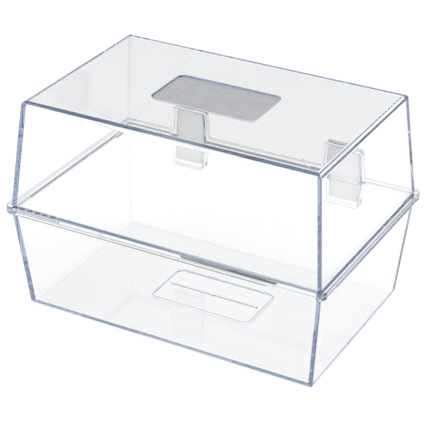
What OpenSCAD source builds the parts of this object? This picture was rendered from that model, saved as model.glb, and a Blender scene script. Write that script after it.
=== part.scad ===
// Clear hinged-lid card file box, shut and empty.
// Two tray shells stand rim to rim. The lid is the base turned over about the front-to-rear axis, and only
// its hinge pads differ: they are longer.
// Two plastic strap hinges join them at the rear, and a label fills the recess in the lid's top.
// Millimetres. Origin: centre of the base's underside. +X right, +Y to the hinge side, +Z up.

/* [Shells] */
// Width of a shell's closed end, which is the lid's top and the base's underside
end_w = 160; // [140:1:200]
// Depth of a shell's closed end, front to rear
end_d = 101; // [90:1:140]
// Height of one shell, from its closed end to its rim
shell_h = 57.2; // [45:0.1:75]
// How far each side wall leans out between the closed end and the rim
flare_x = 5.2; // [2:0.1:8]
// How far the front and rear walls lean out between the closed end and the rim
flare_y = 5.8; // [2:0.1:8]
// Thickness of the walls and of the closed end
wall = 2.5; // [1.8:0.1:2.8]
// Outside radius of the closed end's edges
edge_r = 3; // [1:0.1:3.4]
// Outside radius of the upright corners
post_r = 0.8; // [0.5:0.1:2]

/* [Rim] */
// Thickness of the flange round the rim
flange_t = 2; // [1.4:0.1:2.4]
// How far the flange stands out past the wall
flange_over = 2.5; // [2:0.1:4]
// Outside radius of the flange's corners
flange_r = 3.5; // [3:0.1:6]
// Height of the locating lips at two corners of the rim
lip_h = 1.4; // [1:0.1:1.6]
// Length of a locating lip along the front or rear, from the corner
lip_front = 28; // [15:1:40]
// Length of a locating lip along the side, from the corner
lip_side = 15; // [10:1:30]

/* [Label and recess] */
// Width of the recess in each closed end
recess_w = 58; // [40:1:80]
// Depth of the recess, front to rear
recess_d = 33; // [20:1:50]
// How far the recess is sunk
recess_sink = 1.2; // [0.6:0.1:1.4]
// Thickness of the label
label_t = 0.3; // [0.2:0.1:0.5]
// Length of the raised bar in the middle of the closed end's inner face
bar_l = 50; // [20:1:54]

/* [Hinges] */
// Distance of each hinge's middle from the box's middle
hinge_x = 44.6; // [25:0.2:60]
// Width of a hinge leaf
leaf_w = 16.4; // [12:0.2:20]
// Length of a lower hinge leaf, from the rim to its end stop
lower_l = 12; // [10:0.1:20]
// Length of an upper hinge leaf, from the rim to its end stop
upper_l = 15.3; // [10:0.1:20]
// Thickness of a hinge leaf
leaf_t = 1.6; // [1.2:0.1:1.8]
// Thickness of the bending web
web_t = 0.4; // [0.3:0.05:0.5]

/* [Hidden] */

$fn = 32;

// Shell: inside radii of the floor's edge and of the upright corners, and the seam between the two rims
floor_r = 0.5;
post_in = 0.3;
seam = 0.3;
rim_z = shell_h - seam / 2;

// Thin plates that a shell is hulled from, the angle between two of them round an edge,
// and how deep raised detail is rooted in the plastic under it
rim_skin = 0.8;
edge_skin = 0.02;
edge_step = 15;
root = 0.5;

// Outside of the rim and of the flange round it
rim_w = end_w + 2 * flare_x;
rim_d = end_d + 2 * flare_y;
flange_w = rim_w + 2 * flange_over;
flange_d = rim_d + 2 * flange_over;

// Rim lips and the rebates that take the other shell's lips
lip_t = 0.9;
lip_gap = 0.3;
lip_end_gap = 0.5;
lip_root = 0.6;

// Recess, boss behind it, label and moulded bar
recess_r = 4.5;
boss_inset_x = 0.6;
boss_inset_y = 0.75;
boss_r = 4;
label_gap = 0.5;
boss_h = 0.3;
bar_w = 1.4;
bar_h = 0.8;
gate_d = 3;
bar_dot_d = 2;

// Hinge pockets: a pad on the rear wall with a dovetail slot for the leaf
pocket_face = flange_d / 2;
leaf_proud = 0.1;
leaf_face = pocket_face + leaf_proud;
slot_gap = 0.12;
slot_back = leaf_face - leaf_t - slot_gap;
dovetail = 0.4;
leaf_r = 1.6;
stop_t = 2.3;
rail_far = 1.3;
rail_rim = 2.4;
pad_chamfer = 0.8;
rim_gap = 0.2;
web_h = 2.8;
web_neck = 0.12;
web_neck_h = 0.5;

// How far a cutting shape reaches past the face that it opens
cut_over = 1;

// Colours
clear_plastic = [0.88, 0.92, 0.97, 0.45];
milky_plastic = [0.86, 0.87, 0.88, 0.85];
label_grey = [0.69, 0.69, 0.71];

// Half width and half depth of the outside of the walls at height z
function half_w(z) = end_w / 2 + flare_x * z / shell_h;
function half_d(z) = end_d / 2 + flare_y * z / shell_h;

// Rectangle with round corners, centred
module round_rect(w, d, r) {
    square([w - 2 * r, d], center = true);
    square([w, d - 2 * r], center = true);
    for (x = [-1, 1], y = [-1, 1])
        translate([x * (w / 2 - r), y * (d / 2 - r)])
            circle(r = r);
}

// Round-cornered plate whose top is at height z, for use inside hull()
module plate_below(w, d, r, t, z) {
    translate([0, 0, z - t])
        linear_extrude(height = t)
            round_rect(w, d, r);
}

// Solid that flares from a closed end with round edges up to an open plane at z_top.
// r_edge rounds the closed end's edges and r_post the upright corners.
module flared_block(inset, r_edge, r_post, z_end, z_top) {
    hull() {
        for (a = [0:edge_step:90]) {
            in = inset + r_edge * (1 - sin(a));
            z = z_end + r_edge * (1 - cos(a)) + edge_skin;
            plate_below(
                2 * (half_w(z_end + r_edge) - in),
                2 * (half_d(z_end + r_edge) - in),
                max(r_post + inset - in, edge_skin),
                edge_skin,
                z
            );
        }
        plate_below(2 * (half_w(z_top) - inset), 2 * (half_d(z_top) - inset), r_post, rim_skin, z_top);
    }
}

// Outline of a band that runs just outside the cavity at the rim
module rim_band(t) {
    difference() {
        round_rect(rim_w - 2 * wall + 2 * t, rim_d - 2 * wall + 2 * t, post_in + t);
        round_rect(rim_w - 2 * wall, rim_d - 2 * wall, post_in);
    }
}

// Part of the rim band at one corner; sx and sy choose the corner
module corner_band(t, sx, sy, grow) {
    intersection() {
        rim_band(t);
        translate([
            sx * (rim_w / 2 - (lip_front + grow) / 2),
            sy * (rim_d / 2 - (lip_side + grow) / 2)
        ])
            square([lip_front + grow, lip_side + grow], center = true);
    }
}

// Pad on the rear wall that carries one hinge leaf, narrower towards the closed end
module hinge_pad(leaf_l) {
    far = leaf_w / 2 + rail_far;
    near = leaf_w / 2 + rail_rim;
    z_far = shell_h - leaf_l - stop_t;
    translate([0, pocket_face, 0])
        rotate([90, 0, 0])
            linear_extrude(height = flange_over + flare_y + wall)
                polygon([
                    [-near, rim_z],
                    [-far, z_far + pad_chamfer],
                    [-far + pad_chamfer, z_far],
                    [far - pad_chamfer, z_far],
                    [far, z_far + pad_chamfer],
                    [near, rim_z]
                ]);
}

// Front view of a leaf with its far corners rounded; grow opens it into the slot
module leaf_outline(leaf_l, top, grow) {
    r = leaf_r + grow;
    foot = shell_h - leaf_l - grow;
    half = leaf_w / 2 + grow;
    translate([-half, foot + r])
        square([2 * half, top - foot - r]);
    translate([-half + r, foot])
        square([2 * (half - r), r + grow]);
    for (x = [-1, 1])
        translate([x * (half - r), foot + r])
            circle(r = r);
}

// Dovetail section of a leaf from above, wider at its inner face
module leaf_section(y_in, y_out, grow) {
    polygon([
        [-leaf_w / 2 - grow, y_in],
        [leaf_w / 2 + grow, y_in],
        [leaf_w / 2 - dovetail + grow, y_out],
        [-leaf_w / 2 + dovetail - grow, y_out]
    ]);
}

// Leaf or slot: the front view and the section from above, cut into each other
module leaf_block(leaf_l, top, y_in, y_out, grow) {
    intersection() {
        translate([0, y_out + cut_over, 0])
            rotate([90, 0, 0])
                linear_extrude(height = y_out - y_in + 2 * cut_over)
                    leaf_outline(leaf_l, top, grow);
        translate([0, 0, shell_h - leaf_l - cut_over])
            linear_extrude(height = leaf_l + 3 * cut_over)
                leaf_section(y_in, y_out, grow);
    }
}

// One shell, standing on its closed end with its rim up; leaf_l is the length of its hinge leaves
module shell(leaf_l) {
    difference() {
        union() {
            flared_block(0, edge_r, post_r, 0, rim_z);
            translate([0, 0, shell_h - flange_t])
                linear_extrude(height = rim_z - shell_h + flange_t)
                    round_rect(flange_w, flange_d, flange_r);
            for (x = [-hinge_x, hinge_x])
                translate([x, 0, 0])
                    hinge_pad(leaf_l);
        }
        flared_block(wall, floor_r, post_in, wall, shell_h + cut_over);
        translate([0, 0, -cut_over])
            linear_extrude(height = recess_sink + cut_over)
                round_rect(recess_w, recess_d, recess_r);
        for (x = [-hinge_x, hinge_x])
            translate([x, 0, 0])
                leaf_block(leaf_l, shell_h + cut_over, slot_back, leaf_face, slot_gap);
        for (s = [-1, 1])
            translate([0, 0, shell_h - lip_h - lip_gap])
                linear_extrude(height = lip_h + lip_gap + cut_over)
                    corner_band(lip_t + lip_gap, -s, s, lip_end_gap);
    }
    for (s = [-1, 1])
        translate([0, 0, shell_h - lip_root])
            linear_extrude(height = lip_root + lip_h)
                corner_band(lip_t, s, s, 0);
    panel_boss();
}

// Raised panel inside the closed end, behind the recess, with a moulded bar and gate mark
module panel_boss() {
    top = wall + boss_h;
    translate([0, 0, wall - root])
        linear_extrude(height = root + boss_h)
            round_rect(recess_w - 2 * boss_inset_x, recess_d - 2 * boss_inset_y, boss_r);
    translate([0, 0, top - root])
        linear_extrude(height = root + bar_h)
            square([bar_l, bar_w], center = true);
    translate([0, 0, top - root])
        cylinder(d = gate_d, h = root + bar_h);
    translate([bar_l / 2, 0, top - root])
        cylinder(d = bar_dot_d, h = root + bar_h);
}

// Turns a shape that belongs to the base over into its place on the lid
module on_lid() {
    translate([0, 0, 2 * shell_h])
        rotate([0, 180, 0])
            children();
}

module hinge_leaf(leaf_l) {
    leaf_block(leaf_l, shell_h - rim_gap, leaf_face - leaf_t, leaf_face, 0);
}

// Thin strap that bends along the hinge line, necked in the middle
module hinge_web() {
    strap_w = leaf_w - 2 * dovetail;
    translate([-strap_w / 2, 0, 0])
        rotate([90, 0, 90])
            linear_extrude(height = strap_w)
                polygon([
                    [leaf_face, shell_h - web_h / 2],
                    [leaf_face + web_t, shell_h - web_h / 2],
                    [leaf_face + web_t, shell_h - web_neck_h],
                    [leaf_face + web_t - web_neck, shell_h],
                    [leaf_face + web_t, shell_h + web_neck_h],
                    [leaf_face + web_t, shell_h + web_h / 2],
                    [leaf_face, shell_h + web_h / 2]
                ]);
}

module base_shell() {
    color(clear_plastic)
        shell(lower_l);
}

module lid_shell() {
    color(clear_plastic)
        on_lid()
            shell(upper_l);
}

module lower_leaf(x) {
    color(milky_plastic)
        translate([x, 0, 0])
            hinge_leaf(lower_l);
}

module upper_leaf(x) {
    color(milky_plastic)
        translate([x, 0, 0])
            on_lid()
                hinge_leaf(upper_l);
}

module web(x) {
    color(milky_plastic)
        translate([x, 0, 0])
            hinge_web();
}

module label_plate() {
    color(label_grey)
        translate([0, 0, 2 * shell_h - recess_sink])
            linear_extrude(height = label_t)
                round_rect(recess_w - 2 * label_gap, recess_d - 2 * label_gap, recess_r - label_gap);
}

base_shell();
lid_shell();
lower_leaf(-hinge_x);  // hinge_left_lower_leaf
upper_leaf(-hinge_x);  // hinge_left_upper_leaf
web(-hinge_x);  // hinge_left_web
lower_leaf(hinge_x);  // hinge_right_lower_leaf
upper_leaf(hinge_x);  // hinge_right_upper_leaf
web(hinge_x);  // hinge_right_web
label_plate();
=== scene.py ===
import math

import bmesh
import bpy
from mathutils import Matrix, Vector


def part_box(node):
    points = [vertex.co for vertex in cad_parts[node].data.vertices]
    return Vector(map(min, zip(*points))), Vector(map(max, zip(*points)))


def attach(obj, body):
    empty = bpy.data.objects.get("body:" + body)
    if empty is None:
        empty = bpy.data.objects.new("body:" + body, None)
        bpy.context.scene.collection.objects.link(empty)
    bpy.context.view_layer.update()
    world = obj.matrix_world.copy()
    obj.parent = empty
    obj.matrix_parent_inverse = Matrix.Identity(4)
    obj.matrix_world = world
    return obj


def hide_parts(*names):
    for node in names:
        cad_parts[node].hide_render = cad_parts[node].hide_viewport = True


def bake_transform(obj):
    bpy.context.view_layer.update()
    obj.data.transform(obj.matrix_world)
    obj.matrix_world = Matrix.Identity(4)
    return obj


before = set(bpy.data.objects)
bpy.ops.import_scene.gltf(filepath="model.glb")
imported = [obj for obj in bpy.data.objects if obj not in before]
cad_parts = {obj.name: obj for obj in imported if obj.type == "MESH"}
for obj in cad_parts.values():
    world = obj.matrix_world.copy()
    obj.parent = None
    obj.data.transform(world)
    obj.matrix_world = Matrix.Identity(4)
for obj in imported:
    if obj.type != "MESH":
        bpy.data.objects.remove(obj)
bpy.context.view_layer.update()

MM = 0.001

# ---------------------------------------------------------------- sizes, in millimetres
# HW, HD and HH are half widths, half depths and half heights, and R is a radius.
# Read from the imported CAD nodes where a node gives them.
def cad_corners(node):
    return tuple(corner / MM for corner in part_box(node))


base_lo, base_hi = cad_corners("base_shell")
lid_hi = cad_corners("lid_shell")[1]
lower_lo, lower_hi = cad_corners("hinge_right_lower_leaf")
upper_hi = cad_corners("hinge_right_upper_leaf")[1]
web_lo, web_hi = cad_corners("hinge_right_web")
label_lo, label_hi = cad_corners("label_plate")

# Shell: its closed end, how far its walls lean out up to the rim, and its edges.
FLANGE_HW = base_hi.x
FLANGE_HD = -base_lo.y
SHELL_H = lid_hi.z / 2
END_HW = 80.0
END_HD = 50.5
FLARE_X = 5.2
FLARE_Y = 5.8
WALL = 2.5
EDGE_R = 3.0
POST_R = 0.8
INNER_R = 0.5
POST_IN = 0.3
CORNER_SEGMENTS = 10

# Rim: the seam between the shells, the flange, and the locating lips at two corners.
SEAM = 0.3
RIM_Z = SHELL_H - SEAM / 2
FLANGE_T = 2.0
FLANGE_R = 3.5
FLANGE_EDGE = 0.25
ROOT_FILLET = 0.35
RIM_EDGE = 0.2
LIP_T = 0.9
LIP_H = base_hi.z - SHELL_H
LIP_GAP = 0.3
LIP_END_GAP = 0.5
LIP_FRONT = 28.0
LIP_SIDE = 15.0
LIP_ROOT = 0.6
LIP_BEVEL = 0.15
LIP_SET_OUT = 0.02
REBATE_OVERLAP = 0.1

# Closed end: the recess outside, the boss inside, its moulded bar and dots, and the label.
RECESS_HW = 29.0
RECESS_HD = 16.5
RECESS_R = 4.5
RECESS_SINK = 1.2
RECESS_BEVEL = 0.3
BOSS_HW = 28.4
BOSS_HD = 15.75
BOSS_R = 4.0
BOSS_H = 0.3
BOSS_BEVEL = 0.15
LABEL_HW = label_hi.x
LABEL_HD = label_hi.y
LABEL_R = 4.0
LABEL_T = label_hi.z - label_lo.z
LABEL_EDGE = 0.06
BAR_L = 50.0
BAR_W = 1.4
BAR_H = 0.8
GATE_R = 1.5
DOT_R = 1.0
DETAIL_ROOT = 0.3
DETAIL_BEVEL = 0.12

# Hinges: a pad on the rear wall, with a dovetail slot for the leaf, and the web between two leaves.
HINGE_X = (lower_lo.x + lower_hi.x) / 2
LEAF_HW = (lower_hi.x - lower_lo.x) / 2
LEAF_IN = lower_lo.y
LEAF_OUT = lower_hi.y
LOWER_L = SHELL_H - lower_lo.z
UPPER_L = upper_hi.z - SHELL_H
WEB_OUT = web_hi.y
WEB_HH = (web_hi.z - web_lo.z) / 2
WEB_ROOT = 0.05
WEB_NECK = 0.12
WEB_NECK_HH = 0.5
DOVETAIL = 0.4
SLOT_GAP = 0.12
LEAF_R = 1.6
LEAF_BEVEL = 0.15
RIM_GAP = 0.2
STOP_T = 2.3
RAIL_FAR = 1.3
RAIL_RIM = 2.4
PAD_CHAMFER = 0.8
PAD_DEPTH = 8.0
PAD_BEVEL = 0.3

# Smallest radius that a ring is drawn with, how far a face stays back from another that it would
# otherwise lie in, and how far a cutting shape reaches past the face that it opens.
MIN_R = 0.05
SKIN = 0.01
CUT_OVER = 1.0


# ---------------------------------------------------------------- mesh helpers
def mesh_object(name, verts, faces):
    """Mesh from points in millimetres, with its normals outwards."""
    mesh = bpy.data.meshes.new(name)
    mesh.from_pydata([tuple(c * MM for c in v) for v in verts], [], faces)
    mesh.validate()
    obj = bpy.data.objects.new(name, mesh)
    bpy.context.scene.collection.objects.link(obj)
    bm = bmesh.new()
    bm.from_mesh(mesh)
    bmesh.ops.recalc_face_normals(bm, faces=bm.faces)
    bm.to_mesh(mesh)
    bm.free()
    return obj


def ring(hw, hd, r, z, segments=CORNER_SEGMENTS):
    """Points of a rounded rectangle, anticlockwise from +X."""
    points = []
    for corner, (sx, sy) in enumerate(((1, 1), (-1, 1), (-1, -1), (1, -1))):
        for k in range(segments + 1):
            a = math.radians(90 * (corner + k / segments))
            points.append((
                sx * (hw - r) + r * math.cos(a),
                sy * (hd - r) + r * math.sin(a),
                z,
            ))
    return points


def loft(name, rings):
    """Closed solid through rings of equal length, capped at both ends."""
    n = len(rings[0])
    verts = [p for one in rings for p in one]
    faces = [tuple(range(n))[::-1]]
    for i in range(len(rings) - 1):
        for j in range(n):
            a, b = i * n + j, i * n + (j + 1) % n
            faces.append((a, b, b + n, a + n))
    last = (len(rings) - 1) * n
    faces.append(tuple(range(last, last + n)))
    return mesh_object(name, verts, faces)


def arc(cx, cz, r, start, end, steps=5):
    """Points of an arc in (offset, z), from angle start to end in degrees."""
    out = []
    for k in range(steps + 1):
        a = math.radians(start + (end - start) * k / steps)
        out.append((cx + r * math.cos(a), cz + r * math.sin(a)))
    return out


def prism(name, outline, lo, hi, axis):
    """Extrudes an outline along axis, from lo to hi."""
    n = len(outline)
    verts = []
    for t in (lo, hi):
        for u, v in outline:
            verts.append({"x": (t, u, v), "y": (u, t, v), "z": (u, v, t)}[axis])
    faces = [tuple(range(n)), tuple(range(n, 2 * n))[::-1]]
    for j in range(n):
        k = (j + 1) % n
        faces.append((j, k, k + n, j + n))
    return mesh_object(name, verts, faces)


def bake_modifiers(obj):
    dg = bpy.context.evaluated_depsgraph_get()
    mesh = bpy.data.meshes.new_from_object(obj.evaluated_get(dg))
    obj.modifiers.clear()
    old = obj.data
    obj.data = mesh
    mesh.name = obj.name
    bpy.data.meshes.remove(old)
    return obj


def bevel(obj, width, segments=2, angle=30):
    m = obj.modifiers.new("Bevel", "BEVEL")
    m.width = width * MM
    m.segments = segments
    m.limit_method = "ANGLE"
    m.angle_limit = math.radians(angle)
    return bake_modifiers(obj)


def combine(obj, tool, operation):
    m = obj.modifiers.new("Boolean", "BOOLEAN")
    m.operation = operation
    m.solver = "EXACT"
    m.object = tool
    bake_modifiers(obj)
    bpy.data.objects.remove(tool)
    return obj


def smooth(obj, angle=40):
    for p in obj.data.polygons:
        p.use_smooth = True
    obj.data.set_sharp_from_angle(angle=math.radians(angle))
    m = obj.modifiers.new("Weighted normals", "WEIGHTED_NORMAL")
    m.mode = "FACE_AREA"
    m.weight = 50
    m.keep_sharp = True
    return bake_modifiers(obj)


# ---------------------------------------------------------------- shells
def half_w(z):
    return END_HW + FLARE_X * z / SHELL_H


def half_d(z):
    return END_HD + FLARE_Y * z / SHELL_H


def wall_ring(offset, r, z):
    return ring(half_w(z) + offset, half_d(z) + offset, r, z)


def shell_body():
    """The shell's tray: recess, closed end, wall, flange, rim, cavity, floor and boss, as one loft."""
    rings = []
    # Recess in the closed end, from its ceiling out to the flat underside. Here and below, off is
    # how far a ring lies outside the named outline.
    for off, z in ((-RECESS_BEVEL - 0.2, RECESS_SINK), (-RECESS_BEVEL, RECESS_SINK - 0.03),
                   (-RECESS_BEVEL + 0.15, RECESS_SINK - 0.1), (-0.15, 0.1), (0.0, 0.03), (0.2, 0.0)):
        rings.append(ring(RECESS_HW + off, RECESS_HD + off, RECESS_R + off, z))
    # Round edge of the closed end.
    hw, hd = half_w(EDGE_R), half_d(EDGE_R)
    for k in range(9):
        a = math.radians(90 * k / 8)
        off = EDGE_R * (math.sin(a) - 1)
        rings.append(ring(hw + off, hd + off, max(POST_R + off, MIN_R), EDGE_R * (1 - math.cos(a))))
    # Wall, fillet under the flange, and the flange's round outer edges.
    under = SHELL_H - FLANGE_T
    rings.append(wall_ring(0, POST_R, under - ROOT_FILLET))
    for off, z in arc(ROOT_FILLET, under - ROOT_FILLET, ROOT_FILLET, 180, 90, 3)[1:]:
        rings.append(ring(half_w(under) + off, half_d(under) + off, POST_R + off, z))
    e = FLANGE_EDGE
    for off, z in arc(-e, under + e, e, -90, 0, 4) + arc(-e, RIM_Z - e, e, 0, 90, 4):
        rings.append(ring(FLANGE_HW + off, FLANGE_HD + off, FLANGE_R + off, z))
    # Rim face and its inner edge.
    hw, hd = half_w(RIM_Z) - WALL, half_d(RIM_Z) - WALL
    for off, z in arc(RIM_EDGE, RIM_Z - RIM_EDGE, RIM_EDGE, 90, 180, 3):
        rings.append(ring(hw + off, hd + off, POST_IN + off, z))
    # Cavity, down to its round floor edge.
    hw, hd = half_w(WALL + INNER_R) - WALL, half_d(WALL + INNER_R) - WALL
    for k in range(6):
        a = math.radians(90 - 90 * k / 5)
        off = INNER_R * (math.sin(a) - 1)
        r = max(POST_IN + off, MIN_R)
        rings.append(ring(hw + off, hd + off, r, WALL + INNER_R * (1 - math.cos(a))))
    # Boss behind the recess.
    top = WALL + BOSS_H
    for off, z in ((0.1, WALL), (0.0, WALL + 0.03), (-BOSS_BEVEL, top - 0.03), (-BOSS_BEVEL - 0.1, top)):
        rings.append(ring(BOSS_HW + off, BOSS_HD + off, BOSS_R + off, z))
    return loft("shell", rings)


def corner_strip(name, sx, sy, t_in, t_out, z0, z1, len_x, len_y):
    """L-shaped strip that follows the cavity's edge round one corner."""
    hw, hd = half_w(SHELL_H) - WALL, half_d(SHELL_H) - WALL
    rim_w, rim_d = half_w(SHELL_H), half_d(SHELL_H)
    path = [(rim_w - len_x, hd, 0, 1)]
    for k in range(CORNER_SEGMENTS + 1):
        a = math.radians(90 - 90 * k / CORNER_SEGMENTS)
        nx, ny = math.cos(a), math.sin(a)
        path.append((hw - POST_IN + POST_IN * nx, hd - POST_IN + POST_IN * ny, nx, ny))
    path.append((hw, rim_d - len_y, 1, 0))
    verts, faces = [], []
    for x, y, nx, ny in path:
        for t, z in ((t_in, z0), (t_out, z0), (t_out, z1), (t_in, z1)):
            verts.append((sx * (x + nx * t), sy * (y + ny * t), z))
    for i in range(len(path) - 1):
        for j in range(4):
            a, b = 4 * i + j, 4 * i + (j + 1) % 4
            faces.append((a, b, b + 4, a + 4))
    end = 4 * (len(path) - 1)
    faces.append((3, 2, 1, 0))
    faces.append((end, end + 1, end + 2, end + 3))
    return mesh_object(name, verts, faces)


def hinge_pad(x, leaf_l):
    """Block on the rear wall that one leaf slides into, narrower towards the closed end."""
    far = LEAF_HW + RAIL_FAR
    near = LEAF_HW + RAIL_RIM
    z_far = SHELL_H - leaf_l - STOP_T
    c = PAD_CHAMFER
    outline = [
        (x - near, RIM_Z - SKIN), (x - far, z_far + c), (x - far + c, z_far),
        (x + far - c, z_far), (x + far, z_far + c), (x + near, RIM_Z - SKIN),
    ]
    pad = prism("pad", outline, FLANGE_HD - PAD_DEPTH, FLANGE_HD - SKIN, "y")
    return bevel(pad, PAD_BEVEL)


def tongue(name, x, grow, foot, top, y_in, y_out):
    """Dovetail leaf, wider at y_in, with its two far corners rounded."""
    verts = []
    for y, half in ((y_in, LEAF_HW + grow), (y_out, LEAF_HW + grow - DOVETAIL)):
        r = LEAF_R + grow
        outline = [(half, top)]
        outline += [(half - r + u, foot + r + v) for u, v in arc(0, 0, r, 0, -90, 6)]
        outline += [(-half + r + u, foot + r + v) for u, v in arc(0, 0, r, -90, -180, 6)]
        outline.append((-half, top))
        verts += [(x + u, y, v) for u, v in outline]
    n = len(verts) // 2
    faces = [tuple(range(n)), tuple(range(n, 2 * n))[::-1]]
    faces += [(j, (j + 1) % n, (j + 1) % n + n, j + n) for j in range(n)]
    return mesh_object(name, verts, faces)


def leaf_slot(x, leaf_l):
    g = SLOT_GAP
    return tongue("slot", x, g, SHELL_H - leaf_l - g, SHELL_H + CUT_OVER, LEAF_IN - g, LEAF_OUT)


def disc(name, x, r, lo, hi, sides=24):
    outline = [(x + r * math.cos(math.tau * k / sides), r * math.sin(math.tau * k / sides))
               for k in range(sides)]
    return prism(name, outline, lo, hi, "z")


def make_shell(leaf_l):
    """One shell, standing on its closed end, with pockets for hinge leaves of length leaf_l."""
    shell = shell_body()
    for x in (-HINGE_X, HINGE_X):
        combine(shell, hinge_pad(x, leaf_l), "UNION")
    for x in (-HINGE_X, HINGE_X):
        combine(shell, leaf_slot(x, leaf_l), "DIFFERENCE")
    for s in (-1, 1):
        cut = corner_strip("cut", -s, s, -REBATE_OVERLAP, LIP_T + LIP_GAP, SHELL_H - LIP_H - LIP_GAP,
                           SHELL_H + CUT_OVER, LIP_FRONT + LIP_END_GAP, LIP_SIDE + LIP_END_GAP)
        combine(shell, cut, "DIFFERENCE")
        lip = corner_strip("lip", s, s, LIP_SET_OUT, LIP_T, SHELL_H - LIP_ROOT,
                           SHELL_H + LIP_H, LIP_FRONT, LIP_SIDE)
        combine(shell, bevel(lip, LIP_BEVEL), "UNION")
    top = WALL + BOSS_H
    bar_outline = [(-BAR_L / 2, -BAR_W / 2), (BAR_L / 2, -BAR_W / 2),
                   (BAR_L / 2, BAR_W / 2), (-BAR_L / 2, BAR_W / 2)]
    bar = prism("bar", bar_outline, top - DETAIL_ROOT, top + BAR_H, "z")
    combine(shell, bevel(bar, DETAIL_BEVEL), "UNION")
    # The two dots stand a hair above the bar, each by its own amount, so that no faces coincide.
    for x, r, above in ((0, GATE_R, 0.05), (BAR_L / 2, DOT_R, 0.03)):
        dot = disc("dot", x, r, top - DETAIL_ROOT, top + BAR_H + above)
        combine(shell, bevel(dot, DETAIL_BEVEL), "UNION")
    return shell


# ---------------------------------------------------------------- materials
def material(name):
    m = bpy.data.materials.new(name)
    m.use_nodes = True
    nt = m.node_tree
    nt.nodes.clear()
    out = nt.nodes.new("ShaderNodeOutputMaterial")
    return m, nt, out


def noise(nt, coords, scale, detail=3.0, rough=0.5):
    n = nt.nodes.new("ShaderNodeTexNoise")
    n.inputs["Scale"].default_value = scale
    n.inputs["Detail"].default_value = detail
    n.inputs["Roughness"].default_value = rough
    nt.links.new(coords, n.inputs["Vector"])
    return n.outputs["Fac"]


def ramp(nt, fac, low, high, lo=0.35, hi=0.65):
    r = nt.nodes.new("ShaderNodeValToRGB")
    r.color_ramp.elements[0].position = lo
    r.color_ramp.elements[1].position = hi
    r.color_ramp.elements[0].color = (*low, 1)
    r.color_ramp.elements[1].color = (*high, 1)
    nt.links.new(fac, r.inputs["Fac"])
    return r.outputs["Color"]


def spread(nt, fac, low, high):
    n = nt.nodes.new("ShaderNodeMapRange")
    n.inputs["From Min"].default_value = 0.3
    n.inputs["From Max"].default_value = 0.7
    n.inputs["To Min"].default_value = low
    n.inputs["To Max"].default_value = high
    nt.links.new(fac, n.inputs["Value"])
    return n.outputs["Result"]


def bump(nt, height, distance):
    n = nt.nodes.new("ShaderNodeBump")
    n.inputs["Distance"].default_value = distance
    nt.links.new(height, n.inputs["Height"])
    return n.outputs["Normal"]


def clear_plastic():
    m, nt, out = material("moulded_clear")
    coords = nt.nodes.new("ShaderNodeTexCoord").outputs["Object"]
    b = nt.nodes.new("ShaderNodeBsdfPrincipled")
    b.inputs["Transmission Weight"].default_value = 1.0
    b.inputs["IOR"].default_value = 1.57
    tint = ramp(nt, noise(nt, coords, 14.0), (0.985, 0.983, 0.98), (1.0, 0.998, 0.995))
    nt.links.new(tint, b.inputs["Base Color"])
    nt.links.new(spread(nt, noise(nt, coords, 60.0), 0.0, 0.008), b.inputs["Roughness"])
    wave = bump(nt, noise(nt, coords, 9.0, 1.0), 0.000006)
    nt.links.new(wave, b.inputs["Normal"])
    v = nt.nodes.new("ShaderNodeVolumeAbsorption")
    v.inputs["Color"].default_value = (0.43, 0.55, 0.72, 1)
    v.inputs["Density"].default_value = 15.0
    nt.links.new(b.outputs["BSDF"], out.inputs["Surface"])
    nt.links.new(v.outputs["Volume"], out.inputs["Volume"])
    return m


def milky_plastic():
    m, nt, out = material("moulded_milky")
    coords = nt.nodes.new("ShaderNodeTexCoord").outputs["Object"]
    b = nt.nodes.new("ShaderNodeBsdfPrincipled")
    tint = ramp(nt, noise(nt, coords, 120.0), (0.97, 0.965, 0.96), (1.0, 0.995, 0.99))
    nt.links.new(tint, b.inputs["Base Color"])
    # Painted glow: the hinges emit light of their own, standing in for the light that the plastic scatters
    # sideways and gives back.
    b.inputs["Emission Color"].default_value = (1, 1, 1, 1)
    b.inputs["Emission Strength"].default_value = 0.36
    nt.links.new(spread(nt, noise(nt, coords, 300.0), 0.4, 0.48), b.inputs["Roughness"])
    nt.links.new(bump(nt, noise(nt, coords, 900.0, 2.0), 0.00002), b.inputs["Normal"])
    glow = nt.nodes.new("ShaderNodeBsdfTranslucent")
    nt.links.new(tint, glow.inputs["Color"])
    mix = nt.nodes.new("ShaderNodeMixShader")
    mix.inputs["Fac"].default_value = 0.75
    nt.links.new(b.outputs["BSDF"], mix.inputs[1])
    nt.links.new(glow.outputs["BSDF"], mix.inputs[2])
    nt.links.new(mix.outputs["Shader"], out.inputs["Surface"])
    return m


def label_stock():
    m, nt, out = material("label_stock")
    coords = nt.nodes.new("ShaderNodeTexCoord").outputs["Object"]
    b = nt.nodes.new("ShaderNodeBsdfPrincipled")
    tint = ramp(nt, noise(nt, coords, 260.0, 4.0, 0.6), (0.42, 0.425, 0.455), (0.48, 0.485, 0.51))
    nt.links.new(tint, b.inputs["Base Color"])
    nt.links.new(spread(nt, noise(nt, coords, 500.0), 0.35, 0.5), b.inputs["Roughness"])
    nt.links.new(bump(nt, noise(nt, coords, 1500.0, 2.0), 0.00001), b.inputs["Normal"])
    nt.links.new(b.outputs["BSDF"], out.inputs["Surface"])
    return m


CLEAR = clear_plastic()
MILKY = milky_plastic()
LABEL = label_stock()


def dress(obj, mat):
    obj.data.materials.clear()
    obj.data.materials.append(mat)
    return obj


# ---------------------------------------------------------------- the object
TURN_OVER = Matrix.Translation((0, 0, 2 * SHELL_H * MM)) @ Matrix.Rotation(math.pi, 4, "Y")
base = smooth(make_shell(LOWER_L))
base.name = "base_tray"
lid = smooth(make_shell(UPPER_L))
lid.name = "lid_tray"
lid.data.transform(TURN_OVER)
for tray, body, node in ((base, "base", "base_shell"), (lid, "lid", "lid_shell")):
    dress(tray, CLEAR)
    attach(tray, body)
    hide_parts(node)


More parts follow.
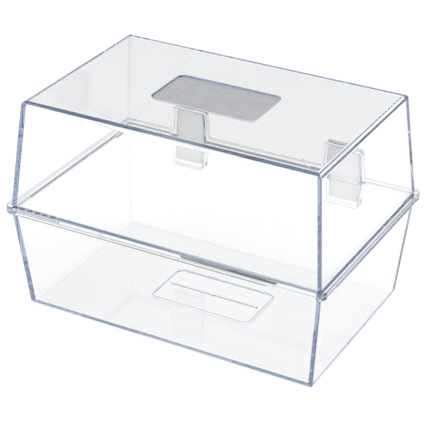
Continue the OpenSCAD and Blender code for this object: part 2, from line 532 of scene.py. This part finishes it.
def strap(name, x):
    """One hinge: lower leaf, bending web and upper leaf."""
    top = SHELL_H - RIM_GAP
    lower = bevel(tongue("lower", x, 0, SHELL_H - LOWER_L, top, LEAF_IN, LEAF_OUT), LEAF_BEVEL)
    upper = bevel(tongue("upper", -x, 0, SHELL_H - UPPER_L, top, LEAF_IN, LEAF_OUT), LEAF_BEVEL)
    upper.data.transform(TURN_OVER)
    half = LEAF_HW - DOVETAIL
    heights = [-WEB_HH, -WEB_NECK_HH, -0.3, -0.2, -0.1, 0.0, 0.1, 0.2, 0.3, WEB_NECK_HH, WEB_HH]
    outer = [(WEB_OUT - WEB_NECK * max(0.0, 1 - abs(h) / WEB_NECK_HH), SHELL_H + h) for h in heights]
    inner = [(LEAF_OUT - WEB_ROOT, SHELL_H + h) for h in heights[::-1]]
    hinge = prism(name, outer + inner, x - half, x + half, "x")
    combine(hinge, lower, "UNION")
    combine(hinge, upper, "UNION")
    return smooth(hinge, 35)


for hand, x in (("left", -HINGE_X), ("right", HINGE_X)):
    hinge = dress(strap("hinge_" + hand, x), MILKY)
    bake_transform(hinge)
    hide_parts(*("hinge_" + hand + part for part in ("_lower_leaf", "_web", "_upper_leaf")))

label_z = 2 * SHELL_H - RECESS_SINK
label = loft("label_card", [ring(LABEL_HW + off, LABEL_HD + off, LABEL_R + off, label_z + z)
                            for off, z in ((0.0, 0.0), (0.0, LABEL_T - LABEL_EDGE), (-LABEL_EDGE, LABEL_T))])
dress(smooth(label), LABEL)
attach(label, "lid")
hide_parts("label_plate")


# ---------------------------------------------------------------- studio
def floor_material():
    m, nt, out = material("studio_floor")
    coords = nt.nodes.new("ShaderNodeTexCoord").outputs["Object"]
    d = nt.nodes.new("ShaderNodeBsdfDiffuse")
    tone = ramp(nt, noise(nt, coords, 8.0), (0.24, 0.24, 0.24), (0.26, 0.26, 0.26))
    nt.links.new(tone, d.inputs["Color"])
    e = nt.nodes.new("ShaderNodeEmission")
    e.inputs["Strength"].default_value = 0.86
    add = nt.nodes.new("ShaderNodeAddShader")
    nt.links.new(d.outputs[0], add.inputs[0])
    nt.links.new(e.outputs[0], add.inputs[1])
    nt.links.new(add.outputs[0], out.inputs["Surface"])
    return m


FLOOR_HALF = 6000.0
FLOOR_Z = -0.05
floor_corners = [(x * FLOOR_HALF, y * FLOOR_HALF, FLOOR_Z)
                 for x, y in ((-1, -1), (1, -1), (1, 1), (-1, 1))]
floor = mesh_object("floor", floor_corners, [(0, 1, 2, 3)])
dress(floor, floor_material())

world = bpy.data.worlds.new("studio")
bpy.context.scene.world = world
world.use_nodes = True
nt = world.node_tree
nt.nodes.clear()
direction = nt.nodes.new("ShaderNodeTexCoord").outputs["Generated"]
split = nt.nodes.new("ShaderNodeSeparateXYZ")
nt.links.new(direction, split.inputs[0])


def sky_ramp(stops):
    """Grey level of the room by height, from the horizon up."""
    sky = nt.nodes.new("ShaderNodeValToRGB")
    while len(sky.color_ramp.elements) < len(stops):
        sky.color_ramp.elements.new(0.5)
    for element, (position, level) in zip(sky.color_ramp.elements, stops):
        element.position = position
        element.color = (level, level, level, 1)
    nt.links.new(split.outputs["Z"], sky.inputs["Fac"])
    return sky.outputs["Color"]


# The room is bright all round, but for a dark card that only the lid's top mirrors towards the
# camera. The card starts and is full where the cosine of the angle from its direction has these values.
CARD_DIRECTION = (-0.474, 0.8805, 0.0)
CARD_STARTS = 0.80
CARD_FULL = 0.87
room_light = sky_ramp(((0.0, 0.6), (0.3, 0.8), (0.7, 1.0)))
card_band = sky_ramp(((0.0, 0.6), (0.29, 0.8), (0.35, 0.28), (0.458, 0.28),
                      (0.486, 1.0), (0.53, 0.93), (1.0, 1.0)))
card_side = nt.nodes.new("ShaderNodeVectorMath")
card_side.operation = "DOT_PRODUCT"
card_side.inputs[1].default_value = CARD_DIRECTION
nt.links.new(direction, card_side.inputs[0])
card = nt.nodes.new("ShaderNodeMapRange")
card.inputs["From Min"].default_value = CARD_STARTS
card.inputs["From Max"].default_value = CARD_FULL
nt.links.new(card_side.outputs["Value"], card.inputs["Value"])
room = nt.nodes.new("ShaderNodeMixRGB")
nt.links.new(card.outputs["Result"], room.inputs["Fac"])
nt.links.new(room_light, room.inputs["Color1"])
nt.links.new(card_band, room.inputs["Color2"])
back_node = nt.nodes.new("ShaderNodeBackground")
back_node.inputs["Strength"].default_value = 1.1
nt.links.new(room.outputs["Color"], back_node.inputs["Color"])
world_out = nt.nodes.new("ShaderNodeOutputWorld")
nt.links.new(back_node.outputs[0], world_out.inputs["Surface"])

# ---------------------------------------------------------------- camera
AZIMUTH = math.radians(28.296)
ELEVATION = math.radians(28.495)
ROLL = math.radians(0.5165)
DISTANCE = 804.74
AIM = Vector((0.218, -3.012, 52.124))
SENSOR_WIDTH = 36.0
FOCAL_LENGTH = 135.51
back = Vector((math.sin(AZIMUTH) * math.cos(ELEVATION),
               -math.cos(AZIMUTH) * math.cos(ELEVATION), math.sin(ELEVATION)))
right = Vector((math.cos(AZIMUTH), math.sin(AZIMUTH), 0))
up = back.cross(right)
side = math.cos(ROLL) * right + math.sin(ROLL) * up
top = -math.sin(ROLL) * right + math.cos(ROLL) * up
camera_data = bpy.data.cameras.new("camera")
camera = bpy.data.objects.new("camera", camera_data)
bpy.context.scene.collection.objects.link(camera)
camera_data.sensor_width = SENSOR_WIDTH
camera_data.lens = FOCAL_LENGTH
place = (AIM + back * DISTANCE) * MM
camera.matrix_world = Matrix((
    (side.x, top.x, back.x, place.x),
    (side.y, top.y, back.y, place.y),
    (side.z, top.z, back.z, place.z),
    (0, 0, 0, 1),
))
bpy.context.scene.camera = camera

view = bpy.context.scene.view_settings
view.view_transform = "Standard"
view.look = "None"
# Light is guided a long way inside the clear walls before it leaves at an edge.
BOUNCES = 160
cycles = bpy.context.scene.cycles
cycles.max_bounces = BOUNCES
cycles.transmission_bounces = BOUNCES
cycles.glossy_bounces = BOUNCES
cycles.transparent_max_bounces = 16

bpy.context.view_layer.update()
